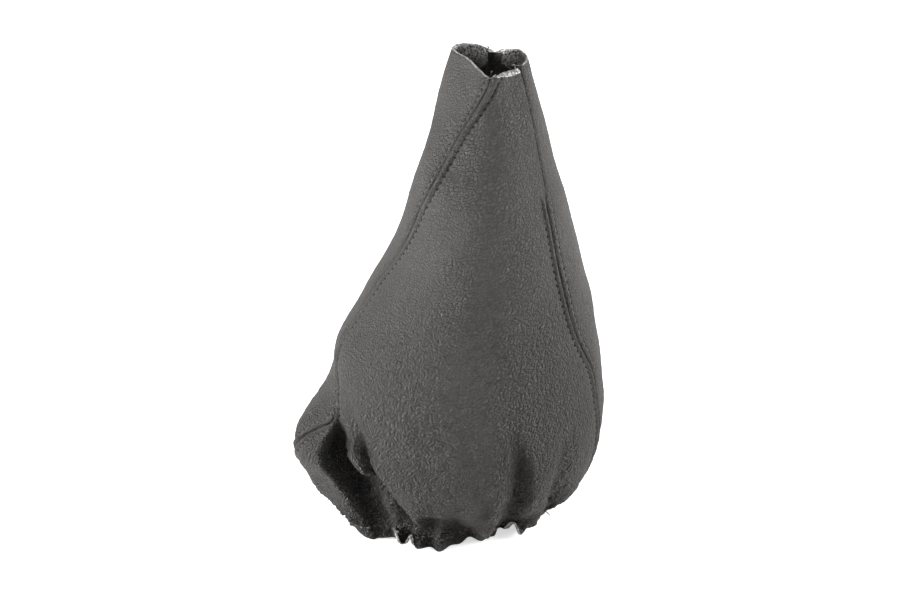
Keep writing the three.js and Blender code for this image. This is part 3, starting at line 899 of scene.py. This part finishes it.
def hem_stitches():
    """Gathering thread round the hem, with a loose end at the right."""
    turn = np.arange(0, 360, 0.25)
    way = way_along(surface(turn, GATHER_LINE + 0 * turn))

    def place(s):
        a = np.interp(s, way, turn)
        z = GATHER_LINE + 0 * a
        p = surface(a, z)
        n = normal(a, z)
        return p + n * (relief(p, a, z) + 0.1)[:, None], n

    row = stitches(place, way[-1])
    start = place(np.interp(np.array([60.0]), turn, way))[0]
    row.append(loose_end(start, [5.0, -2.0, -1.0], [0, 0, 1.8], 3, [0, 0, 1.0], 0.28))
    joined("stitches_hem", row, "hem_thread")


topstitches()
hem_stitches()

# the elastic inside the hem
HEM_MIDDLE = np.array([3.0, 7.0])


def room_inside(azimuths):
    """Radius that is free inside the hem, round its middle, at each azimuth."""
    probe = np.arange(0, 360, 1.0)
    near = []
    for z in np.arange(0, 10, 1.0):
        doubled = np.any([np.abs(wrap(probe - seam(z))) < 16 for seam in SEAMS], 0)
        q = under(probe, z + 0 * probe, np.where(doubled, 2 * LEATHER + 1.2, LEATHER + 0.9))
        dx, dy = q[:, 0] - HEM_MIDDLE[0], q[:, 1] - HEM_MIDDLE[1]
        near.append(np.stack([np.arctan2(dx, -dy) / RAD, np.hypot(dx, dy)], -1))
    near = np.concatenate(near)
    return np.array([near[np.abs(wrap(near[:, 0] - a)) < 8, 1].min() for a in azimuths])


def hoop(radius, azimuths, z):
    x = HEM_MIDDLE[0] + radius * np.sin(azimuths * RAD)
    y = HEM_MIDDLE[1] - radius * np.cos(azimuths * RAD)
    return np.stack([x, y, 0 * azimuths + z], -1)


def elastic_band():
    """A ribbed tape that lies inside the gathered hem."""
    at = np.linspace(0, 360, 240, endpoint=False)
    reach = room_inside(at) - 0.3
    reach = (np.roll(reach, 1) + reach + np.roll(reach, -1)) / 3 - 0.2
    heights = np.linspace(ELASTIC_LOW, ELASTIC_HIGH, 9)
    rib = 0.15 * np.cos(np.arange(9) * math.pi)
    outer = np.stack([hoop(reach + rib[k], at, z) for k, z in enumerate(heights)])
    inner = np.stack([hoop(reach - ELASTIC_THICKNESS, at, z) for z in heights])
    grid = np.concatenate([outer, inner[::-1]])
    rows, cols = grid.shape[:2]
    ids = np.arange(rows * cols).reshape(rows, cols)
    above = np.roll(ids, -1, 0)
    faces = quads(ids, np.roll(ids, -1, 1), np.roll(above, -1, 1), above)
    band = make_mesh("elastic_band", grid.reshape(-1, 3), faces, None, [ELASTIC_MAT])
    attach(band, "root")
    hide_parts("hem_elastic")


elastic_band()


# floor, light and camera
def studio_floor():
    bpy.ops.mesh.primitive_plane_add(size=14, location=(0, 0, -0.0002))
    floor = bpy.context.object
    floor.name = "floor"
    m, nt, b = new_material("studio_floor")
    b.inputs["Base Color"].default_value = (0.86, 0.86, 0.86, 1)
    b.inputs["Roughness"].default_value = 0.9
    b.inputs["Specular IOR Level"].default_value = 0.1
    path = nt.nodes.new("ShaderNodeLightPath")
    glow = nt.nodes.new("ShaderNodeEmission")
    glow.inputs["Color"].default_value = (1, 1, 1, 1)
    nt.links.new(math_node(nt, "MULTIPLY", path.outputs["Is Camera Ray"], 0.58), glow.inputs["Strength"])
    both = nt.nodes.new("ShaderNodeAddShader")
    nt.links.new(b.outputs[0], both.inputs[0])
    nt.links.new(glow.outputs[0], both.inputs[1])
    out = [n for n in nt.nodes if n.type == "OUTPUT_MATERIAL"][0]
    nt.links.new(both.outputs[0], out.inputs[0])
    floor.data.materials.append(m)


def studio_world():
    world = bpy.data.worlds.new("studio")
    bpy.context.scene.world = world
    world.use_nodes = True
    nt = world.node_tree
    sky = nt.nodes["Background"]
    sky.inputs[0].default_value = (1, 1, 1, 1)
    path = nt.nodes.new("ShaderNodeLightPath")
    seen = math_node(nt, "MAXIMUM", path.outputs["Is Camera Ray"], path.outputs["Is Transmission Ray"])
    nt.links.new(math_node(nt, "ADD", math_node(nt, "MULTIPLY", seen, 0.86), 0.14), sky.inputs[1])


def area(name, place, size, watts, aim=(0, 0, 0.11)):
    d = bpy.data.lights.new(name, "AREA")
    d.shape = "RECTANGLE"
    d.size, d.size_y = size
    d.energy = watts
    o = bpy.data.objects.new(name, d)
    bpy.context.scene.collection.objects.link(o)
    o.location = place
    o.rotation_euler = (Vector(aim) - Vector(place)).to_track_quat("-Z", "Y").to_euler()


def lamps():
    area("soft_left", (-0.55, -0.08, 0.13), (0.35, 0.12), 8.6, (0, 0, 0.05))
    area("soft_right", (1.3, -0.1, 0.35), (0.7, 0.6), 39)
    area("soft_top", (0, -0.9, 1.45), (1.2, 0.5), 9)
    area("soft_back", (0.3, 1.4, 0.7), (0.9, 0.5), 16)
    area("low_front", (0, -1.5, 0.12), (1.6, 0.2), 9, (0, 0, 0.04))


# the photograph's view: camera height angle, distance, scale at the part and width of the picture
ELEVATION = 24 * RAD
DISTANCE = 1.5
PIXELS_PER_MM = 2.0
PICTURE_WIDTH = 920
SENSOR_WIDTH = 36
# the picture's middle, to the right of and above the middle of the source's coordinates
AIM_RIGHT = 0.004
AIM_UP = 0.10425


def camera():
    cam = bpy.data.cameras.new("camera")
    cam.sensor_width = SENSOR_WIDTH
    cam.lens = PIXELS_PER_MM * DISTANCE / MM * SENSOR_WIDTH / PICTURE_WIDTH
    cam.clip_end = 30
    ob = bpy.data.objects.new("camera", cam)
    bpy.context.scene.collection.objects.link(ob)
    back = Vector((0, -math.cos(ELEVATION), math.sin(ELEVATION)))
    up = Vector((0, math.sin(ELEVATION), math.cos(ELEVATION)))
    aim = Vector((AIM_RIGHT, 0, 0)) - Vector(MIDDLE_OF_FOOTPRINT * MM)
    centre = aim + up * AIM_UP + back * (0.1 * math.sin(ELEVATION))
    ob.location = centre + back * DISTANCE
    ob.rotation_euler = (-back).to_track_quat("-Z", "Y").to_euler()
    bpy.context.scene.camera = ob


studio_floor()
studio_world()
lamps()
camera()
bpy.context.scene.view_settings.view_transform = "Standard"
